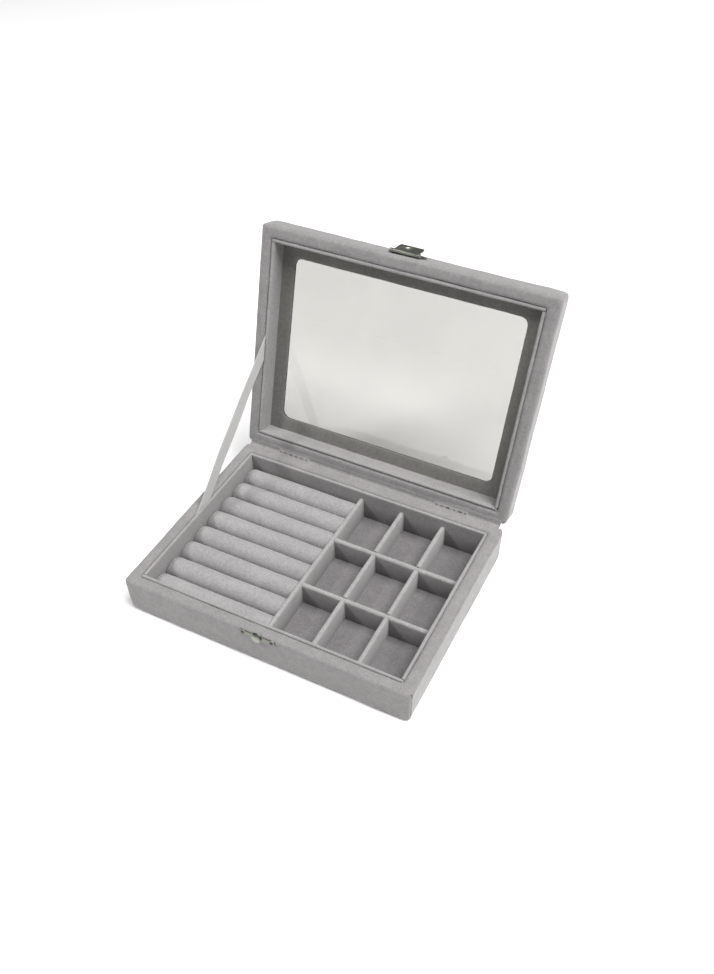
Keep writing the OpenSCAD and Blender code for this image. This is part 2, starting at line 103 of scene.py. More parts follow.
def makeCamera(view):
    width, height = view["picture"]
    data = bpy.data.cameras.new("camera")
    data.sensor_width = view["sensor"]
    data.lens = view["focal"] * data.sensor_width / height
    data.shift_x = -(view["middle"][0] - width / 2) / height
    data.shift_y = (view["middle"][1] - height / 2) / height
    data.clip_start = view["nearest"]
    right, up = Vector(view["right"]).normalized(), Vector(view["up"]).normalized()
    turn = Matrix((right, up, right.cross(up))).transposed().to_4x4()
    camera = bpy.data.objects.new("camera", data)
    bpy.context.scene.collection.objects.link(camera)
    camera.matrix_world = Matrix.Translation(view["place"]) @ turn
    bpy.context.scene.camera = camera


makeCamera(cameraView)
print("camera placed")


# materials

def nodeTree(name):
    material = bpy.data.materials.new(name)
    material.use_nodes = True
    nodes, links = material.node_tree.nodes, material.node_tree.links
    return material, nodes, links, nodes["Principled BSDF"]


def addNoise(nodes, links, source, scale, detail=2.0, distortion=0.0, stretch=(1, 1, 1)):
    mapping = nodes.new("ShaderNodeMapping")
    mapping.inputs["Scale"].default_value = stretch
    links.new(source, mapping.inputs["Vector"])
    texture = nodes.new("ShaderNodeTexNoise")
    texture.inputs["Scale"].default_value = scale
    texture.inputs["Detail"].default_value = detail
    texture.inputs["Distortion"].default_value = distortion
    links.new(mapping.outputs["Vector"], texture.inputs["Vector"])
    return texture.outputs["Fac"]


def addRange(nodes, links, source, low, high, fromLow=0.3, fromHigh=0.7):
    # noise mostly lies between 0.3 and 0.7
    spread = nodes.new("ShaderNodeMapRange")
    spread.inputs["From Min"].default_value = fromLow
    spread.inputs["From Max"].default_value = fromHigh
    spread.inputs["To Min"].default_value = low
    spread.inputs["To Max"].default_value = high
    links.new(source, spread.inputs["Value"])
    return spread.outputs["Result"]


def addProduct(nodes, links, first, second):
    product = nodes.new("ShaderNodeMath")
    product.operation = "MULTIPLY"
    links.new(first, product.inputs[0])
    links.new(second, product.inputs[1])
    return product.outputs["Value"]


def addTint(nodes, links, colour, strength):
    tint = nodes.new("ShaderNodeMix")
    tint.data_type = "RGBA"
    tint.blend_type = "MULTIPLY"
    tint.inputs["Factor"].default_value = 1
    tint.inputs["A"].default_value = (*colour, 1)
    links.new(strength, tint.inputs["B"])
    return tint.outputs["Result"]


def addBump(nodes, links, source, strength, distance, below=None):
    bump = nodes.new("ShaderNodeBump")
    bump.inputs["Strength"].default_value = strength
    bump.inputs["Distance"].default_value = distance
    links.new(source, bump.inputs["Height"])
    if below:
        links.new(below, bump.inputs["Normal"])
    return bump.outputs["Normal"]


velvetLook = {
    "grain": {"scale": 950, "detail": 3},  # pile tufts, about a millimetre
    "grainSpread": 0.13,
    "grainBump": (0.55, 0.25 * millimetre),
    "mottle": {"scale": 380, "detail": 2},
    "mottleSpread": 0.055,
    "mottleBump": (0.25, 0.4 * millimetre),
    "patch": {"scale": 55, "detail": 3, "distortion": 0.8},  # where a hand has brushed the pile
    "patchSpread": 0.06,
    "roughness": 0.95,
    "specular": 0.15,
    "sheen": 0.35,
    "sheenRoughness": 0.45,
    "paintedShadeSpan": (4 * millimetre, 18 * millimetre),  # painted shade fades out from the tray's floor up to the open light
    "paintedShadeLow": 0.34,
}


seamLook = {
    "place": -72.3 * millimetre,  # where the base cover's two ends meet, on the right wall
    "side": (98.9 * millimetre, 99.2 * millimetre),
    "reach": (0.3 * millimetre, 0.6 * millimetre),
    "shade": 0.25,
}


def addSeam(nodes, links, split, look=seamLook):
    # no light comes out of the gap between the velvet's two ends
    shift = nodes.new("ShaderNodeMath")
    shift.operation = "SUBTRACT"
    shift.inputs[1].default_value = look["place"]
    links.new(split.outputs["Y"], shift.inputs[0])
    away = nodes.new("ShaderNodeMath")
    away.operation = "ABSOLUTE"
    links.new(shift.outputs["Value"], away.inputs[0])
    onLine = addRange(nodes, links, away.outputs["Value"], 1, 0, *look["reach"])
    onSide = addRange(nodes, links, split.outputs["X"], 0, 1, *look["side"])
    return addRange(nodes, links, addProduct(nodes, links, onLine, onSide), 1, look["shade"], 0, 1)


def velvet(name, colour, lowShadePainted=False, seam=False, look=velvetLook, sheenTint=(1.0, 0.99, 0.98)):
    material, nodes, links, shader = nodeTree(name)
    place = nodes.new("ShaderNodeTexCoord").outputs["Object"]
    grain, mottle, patch = (
        addNoise(nodes, links, place, **look[layer]) for layer in ("grain", "mottle", "patch")
    )
    shade = addRange(nodes, links, grain, 1 - look["grainSpread"], 1 + look["grainSpread"])
    for source, spread in ((mottle, look["mottleSpread"]), (patch, look["patchSpread"])):
        spreadShade = addRange(nodes, links, source, 1 - spread, 1 + spread)
        shade = addProduct(nodes, links, shade, spreadShade)
    split = nodes.new("ShaderNodeSeparateXYZ")
    links.new(place, split.inputs["Vector"])
    if seam:
        shade = addProduct(nodes, links, shade, addSeam(nodes, links, split))
    if lowShadePainted:  # painted shade: darker towards the tray's floor, where little light reaches
        rise = addRange(nodes, links, split.outputs["Z"], look["paintedShadeLow"], 1, *look["paintedShadeSpan"])
        shade = addProduct(nodes, links, shade, rise)
    links.new(addTint(nodes, links, colour, shade), shader.inputs["Base Color"])
    soft = addBump(nodes, links, mottle, *look["mottleBump"])
    links.new(addBump(nodes, links, grain, *look["grainBump"], soft), shader.inputs["Normal"])
    shader.inputs["Roughness"].default_value = look["roughness"]
    shader.inputs["Specular IOR Level"].default_value = look["specular"]
    shader.inputs["Sheen Weight"].default_value = look["sheen"]
    shader.inputs["Sheen Roughness"].default_value = look["sheenRoughness"]
    shader.inputs["Sheen Tint"].default_value = (*sheenTint, 1)
    return material


metalLook = {
    "scratch": {"scale": 900, "detail": 4, "distortion": 0.2, "stretch": (1, 12, 1)},
    "scratchBump": (0.12, 0.05 * millimetre),
    "roughness": (0.30, 0.52),
    "dull": {"scale": 240, "detail": 3},
    "dullShade": (0.82, 1.06),
}


def platedMetal(name, colour, look=metalLook):
    material, nodes, links, shader = nodeTree(name)
    place = nodes.new("ShaderNodeTexCoord").outputs["Object"]
    scratch = addNoise(nodes, links, place, **look["scratch"])
    dull = addNoise(nodes, links, place, **look["dull"])
    shade = addRange(nodes, links, dull, *look["dullShade"])
    links.new(addTint(nodes, links, colour, shade), shader.inputs["Base Color"])
    links.new(addRange(nodes, links, dull, *look["roughness"]), shader.inputs["Roughness"])
    links.new(addBump(nodes, links, scratch, *look["scratchBump"]), shader.inputs["Normal"])
    shader.inputs["Metallic"].default_value = 1
    return material


knobHighlightLook = {
    "reach": 3.7 * millimetre,  # the knob's head, about its own axis
    "front": -76.9 * millimetre,
    "edge": 0.2 * millimetre,
    "brightness": 1.5,
    "dullShade": (0.78, 1.08),
}


def paintedKnobHighlight(name, colour, centre, look=knobHighlightLook):
    # painted highlight: the knob's head is painted brighter, and the plate round it darker as painted shade
    material, nodes, links, shader = nodeTree(name)
    place = nodes.new("ShaderNodeTexCoord").outputs["Object"]
    dull = addNoise(nodes, links, place, **metalLook["dull"])
    split = nodes.new("ShaderNodeSeparateXYZ")
    links.new(place, split.inputs["Vector"])
    flat = nodes.new("ShaderNodeCombineXYZ")
    links.new(split.outputs["X"], flat.inputs["X"])
    links.new(split.outputs["Z"], flat.inputs["Z"])
    away = nodes.new("ShaderNodeVectorMath")
    away.operation = "DISTANCE"
    away.inputs[1].default_value = (centre.x, 0, centre.z)
    links.new(flat.outputs["Vector"], away.inputs[0])
    reach, front, edge = look["reach"], look["front"], look["edge"]
    onHead = addRange(nodes, links, away.outputs["Value"], 1, 0, reach - edge, reach)
    inFront = addRange(nodes, links, split.outputs["Y"], 1, 0, front - edge, front + edge)
    onKnob = addProduct(nodes, links, onHead, inFront)
    paintedHighlight = addRange(nodes, links, onKnob, 1, look["brightness"], 0, 1)
    shade = addProduct(nodes, links, addRange(nodes, links, dull, *look["dullShade"]), paintedHighlight)
    links.new(addTint(nodes, links, colour, shade), shader.inputs["Base Color"])
    links.new(addRange(nodes, links, dull, *metalLook["roughness"]), shader.inputs["Roughness"])
    shader.inputs["Metallic"].default_value = 1
    return material


boardLook = {
    "broad": {"scale": 420, "detail": 4, "distortion": 0.5, "stretch": (1, 3, 3)},
    "fine": {"scale": 1400, "detail": 2},
    "broadShade": (0.82, 1.12),
    "fineShade": (0.93, 1.07),
    "bumpFrom": "broad",
    "bump": (0.3, 0.2 * millimetre),
    "roughness": 0.85,
}

paperLook = {
    "broad": {"scale": 40, "detail": 3},
    "fine": {"scale": 700, "detail": 4, "distortion": 0.3},
    "broadShade": (0.92, 1.06),
    "fineShade": (0.9, 1.1),
    "bumpFrom": "fine",
    "bump": (0.4, 0.15 * millimetre),
    "roughness": 0.8,
}


def pressedPulp(name, colour, look):
    material, nodes, links, shader = nodeTree(name)
    place = nodes.new("ShaderNodeTexCoord").outputs["Object"]
    grains = {size: addNoise(nodes, links, place, **look[size]) for size in ("broad", "fine")}
    shades = [addRange(nodes, links, grains[size], *look[size + "Shade"]) for size in grains]
    shade = addProduct(nodes, links, *shades)
    links.new(addTint(nodes, links, colour, shade), shader.inputs["Base Color"])
    relief = addBump(nodes, links, grains[look["bumpFrom"]], *look["bump"])
    links.new(relief, shader.inputs["Normal"])
    shader.inputs["Roughness"].default_value = look["roughness"]
    return material


glassLook = {
    "haze": {"scale": 22, "detail": 3, "distortion": 0.4},
    "hazeShade": (0.94, 1.0),
    "roughness": (0.0, 0.03),
    "refraction": 1.45,
}


def windowGlass(name, colour, look=glassLook):
    material, nodes, links, shader = nodeTree(name)
    place = nodes.new("ShaderNodeTexCoord").outputs["Object"]
    haze = addNoise(nodes, links, place, **look["haze"])
    shade = addRange(nodes, links, haze, *look["hazeShade"])
    links.new(addTint(nodes, links, colour, shade), shader.inputs["Base Color"])
    links.new(addRange(nodes, links, haze, *look["roughness"]), shader.inputs["Roughness"])
    shader.inputs["Transmission Weight"].default_value = 1
    shader.inputs["IOR"].default_value = look["refraction"]
    return material


weaveLook = {
    "ribScale": 1.6,  # five soft stripes along the ribbon
    "ribSway": 0.6,
    "ribShade": (0.84, 1.08),
    "ribBump": (0.3, 0.1 * millimetre),
    "fleck": {"scale": 60, "detail": 3, "stretch": (1, 8, 1)},
    "fleckShade": (0.92, 1.08),
    "roughness": 0.6,
    "sheen": 0.3,
    "sheenRoughness": 0.4,
}


def wovenRibbon(name, colour, look=weaveLook):
    material, nodes, links, shader = nodeTree(name)
    place = nodes.new("ShaderNodeTexCoord").outputs["UV"]
    rib = nodes.new("ShaderNodeTexWave")
    rib.bands_direction = "X"
    rib.inputs["Scale"].default_value = look["ribScale"]
    rib.inputs["Distortion"].default_value = look["ribSway"]
    links.new(place, rib.inputs["Vector"])
    fleck = addNoise(nodes, links, place, **look["fleck"])
    ribShade = addRange(nodes, links, rib.outputs["Fac"], *look["ribShade"], 0, 1)
    shade = addProduct(nodes, links, ribShade, addRange(nodes, links, fleck, *look["fleckShade"]))
    links.new(addTint(nodes, links, colour, shade), shader.inputs["Base Color"])
    relief = addBump(nodes, links, rib.outputs["Fac"], *look["ribBump"])
    links.new(relief, shader.inputs["Normal"])
    shader.inputs["Roughness"].default_value = look["roughness"]
    shader.inputs["Sheen Weight"].default_value = look["sheen"]
    shader.inputs["Sheen Roughness"].default_value = look["sheenRoughness"]
    return material


finishes = {
    "outer_velvet": velvet("coverVelvet", (0.218, 0.209, 0.210), seam=True),
    # liners and dividers carry painted shade low in the tray
    "liner_velvet": velvet("linerVelvet", (0.262, 0.253, 0.253), lowShadePainted=True),
    "divider_velvet": velvet("dividerVelvet", (0.280, 0.270, 0.270), lowShadePainted=True),
    "roll_velvet": velvet("rollVelvet", (0.268, 0.260, 0.261)),
    # darker than the liners' velvet: partly its nap, partly painted shade for the cells' floors
    "floor_velvet": velvet("floorVelvetShaded", (0.166, 0.158, 0.162)),
    "frame_velvet": velvet("frameVelvet", (0.164, 0.159, 0.149)),
    "board_wood": pressedPulp("wallBoard", (0.26, 0.215, 0.17), boardLook),
    "lining_paper": pressedPulp("liningPaper", (0.16, 0.16, 0.165), paperLook),
    "clear_glass": windowGlass("windowGlass", (0.515, 0.509, 0.486)),
    "ribbon_fabric": wovenRibbon("ribbonCloth", (0.50, 0.495, 0.49)),
    "nickel_metal": platedMetal("nickelPlate", (0.250, 0.260, 0.225)),
    "dark_metal": platedMetal("darkSteel", (0.10, 0.09, 0.085)),
}


def dress(piece, slotName, finish=None):
    piece.data.materials.clear()
    piece.data.materials.append(finishes[finish or slotName])


# CAD nodes keep their shape and get the finish of their slot
for part in frame["record"]["subparts"]:
    node = frame["nodes"][part["node"]]
    node.data.materials.clear()
    node.data.materials.append(finishes[part["material_slot"]])
# the catch plate gets a painted highlight on its knob and a darker colour round it as painted shade
plateLow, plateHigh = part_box("catch_plate")
catchPlate = frame["nodes"]["catch_plate"]
catchPlate.data.materials.clear()
knobMiddle = (plateLow + plateHigh) / 2
catchPlate.data.materials.append(paintedKnobHighlight("catchKnobHighlight", (0.20, 0.208, 0.18), knobMiddle))
print("materials made")


# modelling helpers

def clearSelection():
    if bpy.context.object and bpy.context.object.mode != "OBJECT":
        bpy.ops.object.mode_set(mode="OBJECT")
    bpy.ops.object.select_all(action="DESELECT")


def makeActive(piece):
    clearSelection()
    piece.select_set(True)
    bpy.context.view_layer.objects.active = piece


def settle(piece):
    makeActive(piece)
    bpy.ops.object.transform_apply(location=True, rotation=True, scale=True)


def startBlock(name, low, high):
    clearSelection()
    low, high = Vector(low), Vector(high)
    bpy.ops.mesh.primitive_cube_add(size=1, location=(low + high) / 2, scale=high - low)
    piece = bpy.context.object
    piece.name = name
    piece.data.name = name
    settle(piece)
    return piece


def edit(piece):
    makeActive(piece)
    bpy.ops.object.mode_set(mode="EDIT")


def done():
    bpy.ops.object.mode_set(mode="OBJECT")


def pick(piece, kind, test):
    mesh = bmesh.from_edit_mesh(piece.data)
    bpy.ops.mesh.select_mode(type=kind)
    bpy.ops.mesh.select_all(action="DESELECT")
    items = {"EDGE": mesh.edges, "FACE": mesh.faces}[kind]
    for item in items:
        item.select_set(bool(test(item)))
    mesh.select_flush_mode()
    bmesh.update_edit_mesh(piece.data)


def runsAlong(edge, axis):
    direction = (edge.verts[1].co - edge.verts[0].co).normalized()
    return abs(direction.dot(axis)) > parallel


def roundEdges(piece, test, radius, segments):
    pick(piece, "EDGE", test)
    bpy.ops.mesh.bevel(offset=radius, segments=segments, affect="EDGES")


def slices(piece, axis, low, high, step):
    count = max(1, round((high - low) / step))
    for i in range(1, count):
        bpy.ops.mesh.select_all(action="SELECT")
        bpy.ops.mesh.bisect(plane_co=axis * (low + (high - low) * i / count), plane_no=axis)


def applyModifier(piece, kind, **values):
    makeActive(piece)
    modifier = piece.modifiers.new(kind.lower(), kind)
    for key, value in values.items():
        setattr(modifier, key, value)
    bpy.ops.object.modifier_apply(modifier=modifier.name)


def cutAway(piece, cutter):
    applyModifier(piece, "BOOLEAN", operation="DIFFERENCE", object=cutter, solver="EXACT")
    bpy.data.objects.remove(cutter)


def waviness(place, size, seed):
    return noise.noise(Vector((place.x + seed, place.y - seed, place.z + 2 * seed)) / size)


seeds = {
    "baseCover": 3.1,
    "lidCover": 7.7,
    "baseLiner": 1.3,
    "lidLiner": 6.1,
    "centreDivider": 11.9,
    "longDivider": 13.2,
    "crossDivider": 15.6,
    "floorCard": 21.5,
    "windowFrame": 25.5,
    "ringRoll": 30.0,
    "hingeVelvet": 0.3,
    "fineShift": 0.37,
}


def ripple(piece, shape, seed, keep=None):
    mesh = piece.data
    fineSeed = seed + seeds["fineShift"]
    normals = [vertex.normal.copy() for vertex in mesh.vertices]
    for vertex, normal in zip(mesh.vertices, normals):
        place = vertex.co
        move = shape["broad"] * waviness(place, shape["broadSize"], seed)
        move += shape["fine"] * waviness(place, shape["fineSize"], fineSeed)
        vertex.co = place + normal * move
        if keep:
            vertex.co.z = min(max(vertex.co.z, keep[0]), keep[1])
    mesh.update()


def smoothShade(piece, degrees):
    makeActive(piece)
    bpy.ops.object.shade_smooth_by_angle(angle=math.radians(degrees))


def openUp(piece):
    piece.matrix_world = openTurn @ piece.matrix_world
    settle(piece)


# velvet covers of the base and the lid

coverShape = {
    "cornerRadius": 3.5 * millimetre,
    "cornerSegments": 6,
    "edgeRadius": 2.5 * millimetre,
    "edgeSegments": 5,
    "innerRadius": 1.9 * millimetre,
    "innerSegments": 4,
    "pile": 0.42 * millimetre,  # the pile stands into the groove
    "voxel": 1.0 * millimetre,
    "softening": (0.5, 5),  # strength and rounds
    "softAngle": 60,
    "thickness": 0.5 * millimetre,
    "flap": 10 * millimetre,
    "topSkin": 1.6 * millimetre,
    "topNear": 0.35 * millimetre,
    "broad": 0.30 * millimetre,
    "broadSize": 26 * millimetre,
    "fine": 0.14 * millimetre,
    "fineSize": 6 * millimetre,
    "seamPlace": seamLook["place"],  # the velvet's ends lap just round the front right corner
    "seamStep": 0.35 * millimetre,
    "seamHalf": 0.45 * millimetre,
    "seamDepth": 0.6 * millimetre,
    "seamFade": 5 * millimetre,
    "seamCut": (1.6 * millimetre, 3 * millimetre),  # into the side and along it
    "seamShell": 1.4 * millimetre,
    "seamEnd": 2 * millimetre,  # it is shallower this close to the rim
    "seamEndShare": 0.4,
    "slitDepth": 1.9 * millimetre,
    "slitOver": 3,
    "slitSpare": 0.4 * millimetre,
    "slitBack": 1.4 * millimetre,
    "overBoards": 0.35 * millimetre,
    "boardReach": 2.5 * millimetre,
    "boardSink": 0.5 * millimetre,
    "boardFacing": 0.2,
}


boxSides = ("front", "right", "back", "left")


def innerHalf(shape):
    # half the opening, up to the pile
    width = wallWidth + shape["pile"]
    return baseHigh.x - width, baseHigh.y - width


def roundedBlock(name, low, high, shape):
    block = startBlock(name, low, high)
    edit(block)

    def level(edge):
        return abs(edge.verts[0].co.z - edge.verts[1].co.z) < tiny

    roundEdges(
        block, lambda edge: runsAlong(edge, zAxis), shape["cornerRadius"], shape["cornerSegments"]
    )
    roundEdges(block, level, shape["edgeRadius"], shape["edgeSegments"])
    done()
    return block


def hingeSlits(cover, rimZ, upwards, shape):
    for side in ("left", "right"):
        low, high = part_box(side + "_hinge_pin")
        reach = shape["slitDepth"] if upwards else -shape["slitDepth"]
        lowZ, highZ = sorted((rimZ + reach, rimZ - shape["slitOver"] * reach))
        spare = shape["slitSpare"]
        lowCorner = (low.x - spare, baseHigh.y - shape["slitBack"], lowZ)
        highCorner = (high.x + spare, baseHigh.y + clear, highZ)
        cutAway(cover, startBlock("slit", lowCorner, highCorner))


def onLoop(edge, z, halfX, halfY):
    # an edge at this height that runs round the opening
    return all(
        abs(end.co.z - z) < tiny
        and abs(end.co.x) < halfX + little
        and abs(end.co.y) < halfY + little
        for end in edge.verts
    )


def roundInnerRim(cover, rimZ, shape):
    edit(cover)
    roundEdges(
        cover,
        lambda edge: onLoop(edge, rimZ, *innerHalf(shape)),
        shape["innerRadius"],
        shape["innerSegments"],
    )
    done()


def insideWalls(place, rimZ, downwards, shape):
    # a face of the ring's inner side, past the end of the flap
    innerX, innerY = innerHalf(shape)
    near, spare = 0.3 * millimetre, 0.5 * millimetre
    inner = abs(abs(place.x) - innerX) < near and abs(place.y) < innerY + spare
    inner = inner or (abs(abs(place.y) - innerY) < near and abs(place.x) < innerX + spare)
    return inner and (rimZ - place.z) * downwards > shape["flap"]


def boardsTree(names, turn):
    points, faces = [], []
    for name in names:
        mesh = frame["nodes"][name].data
        first = len(points)
        points += [turn @ vertex.co for vertex in mesh.vertices]
        faces += [[first + i for i in polygon.vertices] for polygon in mesh.polygons]
    return BVHTree.FromPolygons(points, faces)


def stayOutside(cover, boards, shape):
    # the boards' corners would come through the softened cover
    for vertex, normal in [(vertex, vertex.normal.copy()) for vertex in cover.data.vertices]:
        start = vertex.co - normal * shape["boardSink"]
        place, facing, _, _ = boards.ray_cast(start, normal, shape["boardReach"])
        if place is not None and facing.dot(normal) > shape["boardFacing"]:
            short = (place - vertex.co).dot(normal) + shape["overBoards"]
            vertex.co += normal * max(short, 0)
    cover.data.update()


def finishCover(cover, shape, removeFace, seed, boards, keep):
    applyModifier(cover, "REMESH", mode="VOXEL", voxel_size=shape["voxel"], adaptivity=0)
    strength, rounds = shape["softening"]
    applyModifier(cover, "SMOOTH", factor=strength, iterations=rounds)
    edit(cover)
    pick(cover, "FACE", lambda face: removeFace(face.calc_center_median()))
    bpy.ops.mesh.delete(type="FACE")
    done()
    ripple(cover, shape, seed, keep)
    stayOutside(cover, boards, shape)


def lapSeam(cover, shape):
    place, fade, near = shape["seamPlace"], shape["seamFade"], 0.1 * millimetre
    depth, along = shape["seamCut"]

    def byTheSeam(face):
        middle = face.calc_center_median()
        return middle.x > baseHigh.x - depth and abs(middle.y - place) < along

    edit(cover)
    for shift in (-shape["seamHalf"], 0, shape["seamHalf"]):
        pick(cover, "FACE", byTheSeam)
        bpy.ops.mesh.bisect(plane_co=(0, place + shift, 0), plane_no=yAxis)
    done()
    for vertex in cover.data.vertices:
        ahead = place - vertex.co.y
        if vertex.co.x > baseHigh.x - shape["seamShell"] and -near < ahead < fade:
            rise = 1 if vertex.co.z < baseHigh.z - shape["seamEnd"] else shape["seamEndShare"]
            if ahead < near:
                vertex.co.x -= shape["seamDepth"] * rise
            else:
                vertex.co.x += shape["seamStep"] * rise * (1 - ahead / fade)
    cover.data.update()


def makeBaseCover(shape):
    cover = roundedBlock("baseCover", baseLow, baseHigh, shape)
    innerX, innerY = innerHalf(shape)
    low, high = (-innerX, -innerY, baseLow.z - clear), (innerX, innerY, baseHigh.z + clear)
    cutAway(cover, startBlock("hollow", low, high))
    roundInnerRim(cover, baseHigh.z, shape)
    hingeSlits(cover, baseHigh.z, False, shape)

    def hidden(place):
        return insideWalls(place, baseHigh.z, 1, shape)

    boards = boardsTree(["base_wall_" + side for side in boxSides], Matrix())
    finishCover(cover, shape, hidden, seeds["baseCover"], boards, (baseLow.z, baseHigh.z))
    lapSeam(cover, shape)
    applyModifier(cover, "SOLIDIFY", thickness=shape["thickness"], offset=-1)
    smoothShade(cover, shape["softAngle"])
    dress(cover, "outer_velvet")
    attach(cover, "base")
    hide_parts("base_velvet_cover")


windowShape = {
    "border": 19.8 * millimetre,
    "radius": 5 * millimetre,
    "segments": 6,
}


def windowHalf(shape):
    return baseHigh.x - shape["border"], baseHigh.y - shape["border"]


def windowCutter(lowZ, highZ, shape):
    halfX, halfY = windowHalf(shape)
    cutter = startBlock("window", (-halfX, -halfY, lowZ), (halfX, halfY, highZ))
    edit(cutter)
    roundEdges(cutter, lambda edge: runsAlong(edge, zAxis), shape["radius"], shape["segments"])
    done()
    return cutter


def makeLidCover(shape):
    cover = roundedBlock("lidCover", lidLow, lidHigh, shape)
    innerX, innerY = innerHalf(shape)
    ceiling = lidHigh.z - shape["topSkin"]
    low, high = (-innerX, -innerY, lidLow.z - clear), (innerX, innerY, ceiling)
    cutAway(cover, startBlock("hollow", low, high))
    roundInnerRim(cover, lidLow.z, shape)
    cutAway(cover, windowCutter(lidLow.z, lidHigh.z + clear, windowShape))
    hingeSlits(cover, lidLow.z, True, shape)

    def hidden(place):
        within = abs(place.x) < innerX and abs(place.y) < innerY
        underTop = within and abs(place.z - ceiling) < shape["topNear"]
        return underTop or (place.z < ceiling and insideWalls(place, lidLow.z, -1, shape))

    boards = boardsTree(["lid_top_board"] + ["lid_wall_" + side for side in boxSides], shutTurn)
    keep = lidLow.z, lidHigh.z + shape["broad"]
    finishCover(cover, shape, hidden, seeds["lidCover"], boards, keep)
    applyModifier(cover, "SOLIDIFY", thickness=shape["thickness"], offset=-1)
    openUp(cover)
    smoothShade(cover, shape["softAngle"])
    dress(cover, "outer_velvet")
    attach(cover, "lid")
    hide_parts("lid_velvet_cover")


makeBaseCover(coverShape)
makeLidCover(coverShape)
print("covers made")


# liners and dividers: boards wrapped in velvet

boardShape = {
    "step": 2.2 * millimetre,
    "stepUp": 1.4,  # the steps upwards are longer
    "edgeShare": 0.49,
    "edgeSegments": 5,
    "softAngle": 50,
    "broad": 0.22 * millimetre,
    "broadSize": 17 * millimetre,
    "fine": 0.10 * millimetre,
    "fineSize": 4 * millimetre,
    "notchSpare": 0.05 * millimetre,
    "pile": 0.33 * millimetre,
    "lidPile": 0.50 * millimetre,  # nearly shuts the lid's groove
}


def wrappedBoard(name, low, high, topUp, shape, seed):
    along = xAxis if high.x - low.x > high.y - low.y else yAxis
    across = yAxis if along == xAxis else xAxis
    thick = (high - low).dot(across)
    topZ = high.z if topUp else low.z
    board = startBlock(name, low, high)
    edit(board)
    roundEdges(
        board,
        lambda edge: runsAlong(edge, along) and abs(edge.verts[0].co.z - topZ) < tiny,
        thick * shape["edgeShare"],
        shape["edgeSegments"],
    )
    slices(board, along, low.dot(along), high.dot(along), shape["step"])
    slices(board, zAxis, low.z, high.z, shape["step"] * shape["stepUp"])
    done()
    ripple(board, shape, seed)
    return board


def finishBoard(board, slotName, body, node):
    if body == "lid":
        openUp(board)
    smoothShade(board, boardShape["softAngle"])
    dress(board, slotName)
    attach(board, body)
    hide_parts(node)


def grown(low, high, way):
    # the board's box, with the pile on the face that looks this way
    ends = [low, high, low + way, high + way]
    return [Vector([pickEnd(end[i] for end in ends) for i in range(3)]) for pickEnd in (min, max)]


def makeLiners():
    ways = {"front": -yAxis, "right": xAxis, "back": yAxis, "left": -xAxis}
    for number, side in enumerate(ways):
        way = ways[side] * boardShape["pile"]
        low, high = grown(*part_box("base_liner_" + side), way)
        seed = seeds["baseLiner"] + number
        board = wrappedBoard("baseLiner" + side.title(), low, high, True, boardShape, seed)
        finishBoard(board, "liner_velvet", "base", "base_liner_" + side)
        way = ways[side] * boardShape["lidPile"]
        low, high = grown(*shutBox("lid_liner_" + side), way)
        seed = seeds["lidLiner"] + number
        board = wrappedBoard("lidLiner" + side.title(), low, high, False, boardShape, seed)
        finishBoard(board, "liner_velvet", "lid", "lid_liner_" + side)


def notch(board, low, high):
    cutAway(board, startBlock("notch", low, high))


def makeDividers():
    crossBoxes = [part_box("cross_divider_" + name) for name in ("front", "back")]
    longBoxes = [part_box("long_divider_" + name) for name in ("left", "right")]
    low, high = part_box("centre_divider")
    board = wrappedBoard("centreDivider", low, high, True, boardShape, seeds["centreDivider"])
    finishBoard(board, "divider_velvet", "base", "centre_divider")
    middle = (low.z + high.z) / 2
    spare = boardShape["notchSpare"]
    for number, name in enumerate(("left", "right")):
        low, high = longBoxes[number]
        seed = seeds["longDivider"] + number
        board = wrappedBoard("longDivider" + name.title(), low, high, True, boardShape, seed)
        for crossLow, crossHigh in crossBoxes:
            notch(
                board,
                (low.x - clear, crossLow.y - spare, middle),
                (high.x + clear, crossHigh.y + spare, high.z + clear),
            )
        finishBoard(board, "divider_velvet", "base", "long_divider_" + name)
    for number, name in enumerate(("front", "back")):
        low, high = crossBoxes[number]
        seed = seeds["crossDivider"] + number
        board = wrappedBoard("crossDivider" + name.title(), low, high, True, boardShape, seed)
        for longLow, longHigh in longBoxes:
            notch(
                board,
                (longLow.x - spare, low.y - clear, low.z - clear),
                (longHigh.x + spare, high.y + clear, middle),
            )
        finishBoard(board, "divider_velvet", "base", "cross_divider_" + name)


makeLiners()
makeDividers()
print("liners and dividers made")


# floor card and window frame

floorShape = {
    "step": 3 * millimetre,
    "broad": 0.16 * millimetre,
    "broadSize": 14 * millimetre,
    "fine": 0.06 * millimetre,
    "fineSize": 5 * millimetre,
    "softAngle": 50,
}

frameShape = {
    "step": 3 * millimetre,
    "edgeRadius": 0.4 * millimetre,
    "edgeSegments": 3,
    "broad": 0.14 * millimetre,
    "broadSize": 16 * millimetre,
    "fine": 0.06 * millimetre,
    "fineSize": 5 * millimetre,
    "softAngle": 50,
}


def makeFloorCard(shape):
    low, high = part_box("tray_floor_card")
    card = startBlock("floorCard", low, high)
    edit(card)
    slices(card, xAxis, low.x, high.x, shape["step"])
    slices(card, yAxis, low.y, high.y, shape["step"])
    done()
    ripple(card, shape, seeds["floorCard"])
    smoothShade(card, shape["softAngle"])
    dress(card, "floor_velvet")
    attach(card, "base")
    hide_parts("tray_floor_card")


